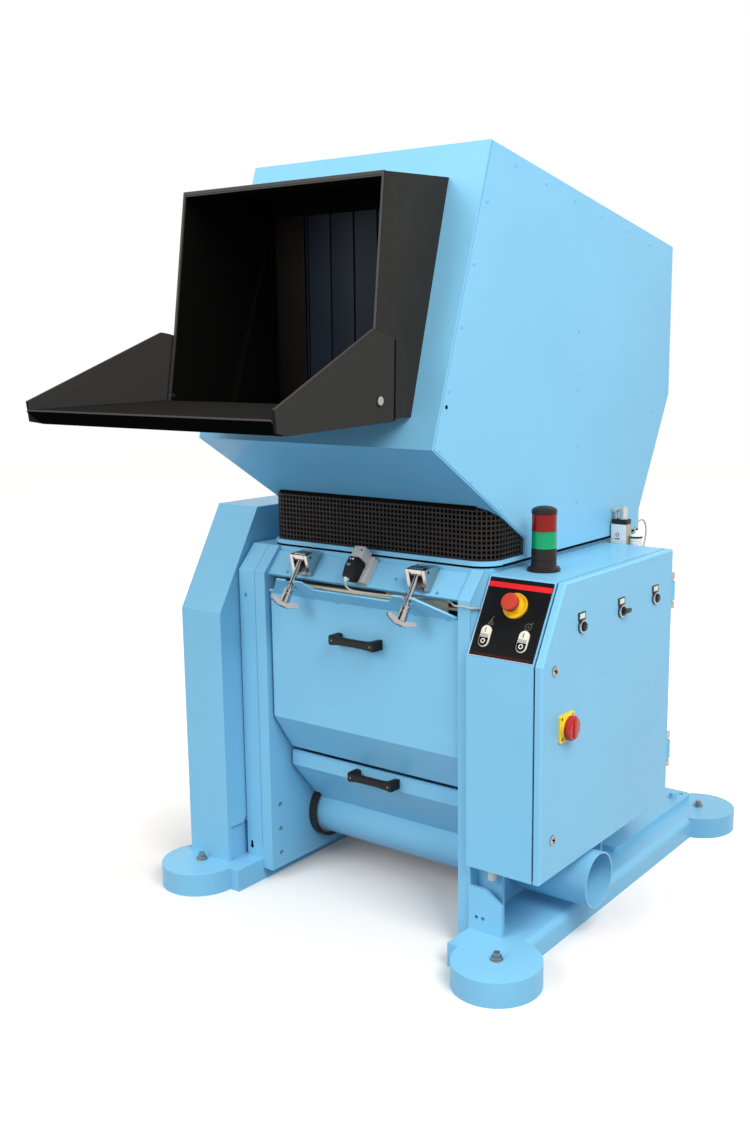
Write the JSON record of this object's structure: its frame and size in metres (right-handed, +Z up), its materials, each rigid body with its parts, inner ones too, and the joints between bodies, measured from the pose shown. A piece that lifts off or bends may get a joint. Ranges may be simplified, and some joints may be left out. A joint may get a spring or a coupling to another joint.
{
  "type": "plastic granulator",
  "caption": "Floor standing plastic granulator with a tilting feed hopper, folding feed tray, screen door, suction trough and a side control cabinet.",
  "frame": {"origin": "middle of the footprint box, on the floor", "axes": "+Z up, -Y towards the feed tray, +X towards the control cabinet"},
  "size_m": [1.15, 1.7669, 1.845],
  "materials": {
    "blue_paint": "satin light blue paint",
    "blue_tube": "satin light blue paint on rolled tube",
    "black_paint": "matt black paint",
    "black_mesh": "black perforated sheet",
    "stainless": "cast and turned stainless steel",
    "steel": "machined steel",
    "black_plastic": "black moulded plastic",
    "grey_plastic": "grey moulded plastic",
    "beige_plastic": "beige moulded plastic",
    "panel_black": "black printed foil",
    "yellow_plastic": "yellow moulded plastic",
    "red_plastic": "red moulded plastic",
    "cream_plastic": "cream and black push caps",
    "green_lens": "green lens",
    "red_lens": "red lens",
    "curtain": "dark flexible strips",
    "lead_grey": "grey cable sheath",
    "black_rubber": "black rubber"
  },
  "bodies": {
    "base": {"beacon_body": "black_plastic", "beacon_green": "green_lens", "beacon_red": "red_lens", "belt_guard": "blue_paint", "cabinet": "blue_paint", "cabinet_hinges": "steel", "cabinet_stand": "blue_paint", "chamber": "blue_paint", "clevises": "stainless", "control_plate": "panel_black", "cradle_edge": "steel", "door_pin": "steel", "estop_collar": "yellow_plastic", "foot_rail": "blue_paint", "front_beam": "blue_paint", "gland": "beige_plastic", "hinge_lugs": "blue_paint", "hopper_switch": "grey_plastic", "hopper_switch_cap": "black_plastic", "left_casing": "blue_paint", "left_foot": "blue_paint", "left_plate": "blue_paint", "levelling_bolts": "steel", "motor": "blue_paint", "push_buttons": "cream_plastic", "rear_beams": "blue_paint", "rear_fitting": "grey_plastic", "rear_lead": "lead_grey", "right_foot": "blue_paint", "right_plate": "blue_paint", "rotor": "steel", "switch_body": "black_plastic", "switch_bracket": "blue_paint", "switch_head": "grey_plastic", "switch_lead": "lead_grey", "switch_rollers": "steel", "tube_ring": "steel", "tube_seal": "black_rubber"},
    "hopper": {"hopper_shell": "blue_paint", "hopper_rim": "blue_paint", "mesh_skirt": "black_mesh", "feed_hood": "black_paint", "curtain": "curtain", "flap_pivots": "steel"},
    "feed_flap": {"feed_flap": "black_paint"},
    "screen_door": {"door": "blue_paint", "door_handle": "black_plastic"},
    "bolt_left": {"bolt_left": "stainless"},
    "bolt_right": {"bolt_right": "stainless"},
    "suction_trough": {"suction_tube": "blue_tube", "trough": "blue_paint", "trough_handle": "black_plastic"},
    "cabinet_door": {"cabinet_door": "blue_paint", "door_locks": "steel", "main_switch_plate": "yellow_plastic", "selectors": "black_plastic"},
    "main_switch": {"main_switch_knob": "red_plastic"},
    "estop": {"estop_button": "red_plastic"}
  },
  "joints": [
    {"name": "hopper_tilt", "type": "hinge", "parent": "base", "child": "hopper", "pos_m": [0, 0.5995, 0.898], "axis": [-1, 0, 0], "range_deg": [0, 60]},
    {"name": "flap_fold", "type": "hinge", "parent": "hopper", "child": "feed_flap", "pos_m": [0, -0.5315, 1.301], "axis": [-1, 0, 0], "range_deg": [0, 90]},
    {"name": "door_hinge", "type": "hinge", "parent": "base", "child": "screen_door", "pos_m": [0, -0.1505, 0.374], "axis": [1, 0, 0], "range_deg": [0, 25]},
    {"name": "bolt_left_swing", "type": "hinge", "parent": "base", "child": "bolt_left", "pos_m": [-0.181, -0.2282, 0.89467], "axis": [-1, 0, 0], "range_deg": [0, 150]},
    {"name": "bolt_right_swing", "type": "hinge", "parent": "base", "child": "bolt_right", "pos_m": [0.181, -0.2282, 0.89467], "axis": [-1, 0, 0], "range_deg": [0, 150]},
    {"name": "trough_tilt", "type": "hinge", "parent": "base", "child": "suction_trough", "pos_m": [0, -0.0105, 0.146], "axis": [1, 0, 0], "range_deg": [0, 25]},
    {"name": "cabinet_door_hinge", "type": "hinge", "parent": "base", "child": "cabinet_door", "pos_m": [0.531, 0.4051, 0.56], "axis": [0, 0, 1], "range_deg": [0, 110]},
    {"name": "main_switch_turn", "type": "hinge", "parent": "cabinet_door", "child": "main_switch", "pos_m": [0.5363, -0.1565, 0.565], "axis": [1, 0, 0], "range_deg": [0, 90]},
    {"name": "estop_push", "type": "slide", "parent": "base", "child": "estop", "axis": [0, 0.8685, -0.4957], "range_m": [0, 0.003], "stiffness_N_per_m": 800}
  ],
  "couplings": [
    {"joint": "bolt_left_swing", "follows": "door_hinge", "ratio": 6},
    {"joint": "bolt_right_swing", "follows": "door_hinge", "ratio": 6}
  ]
}
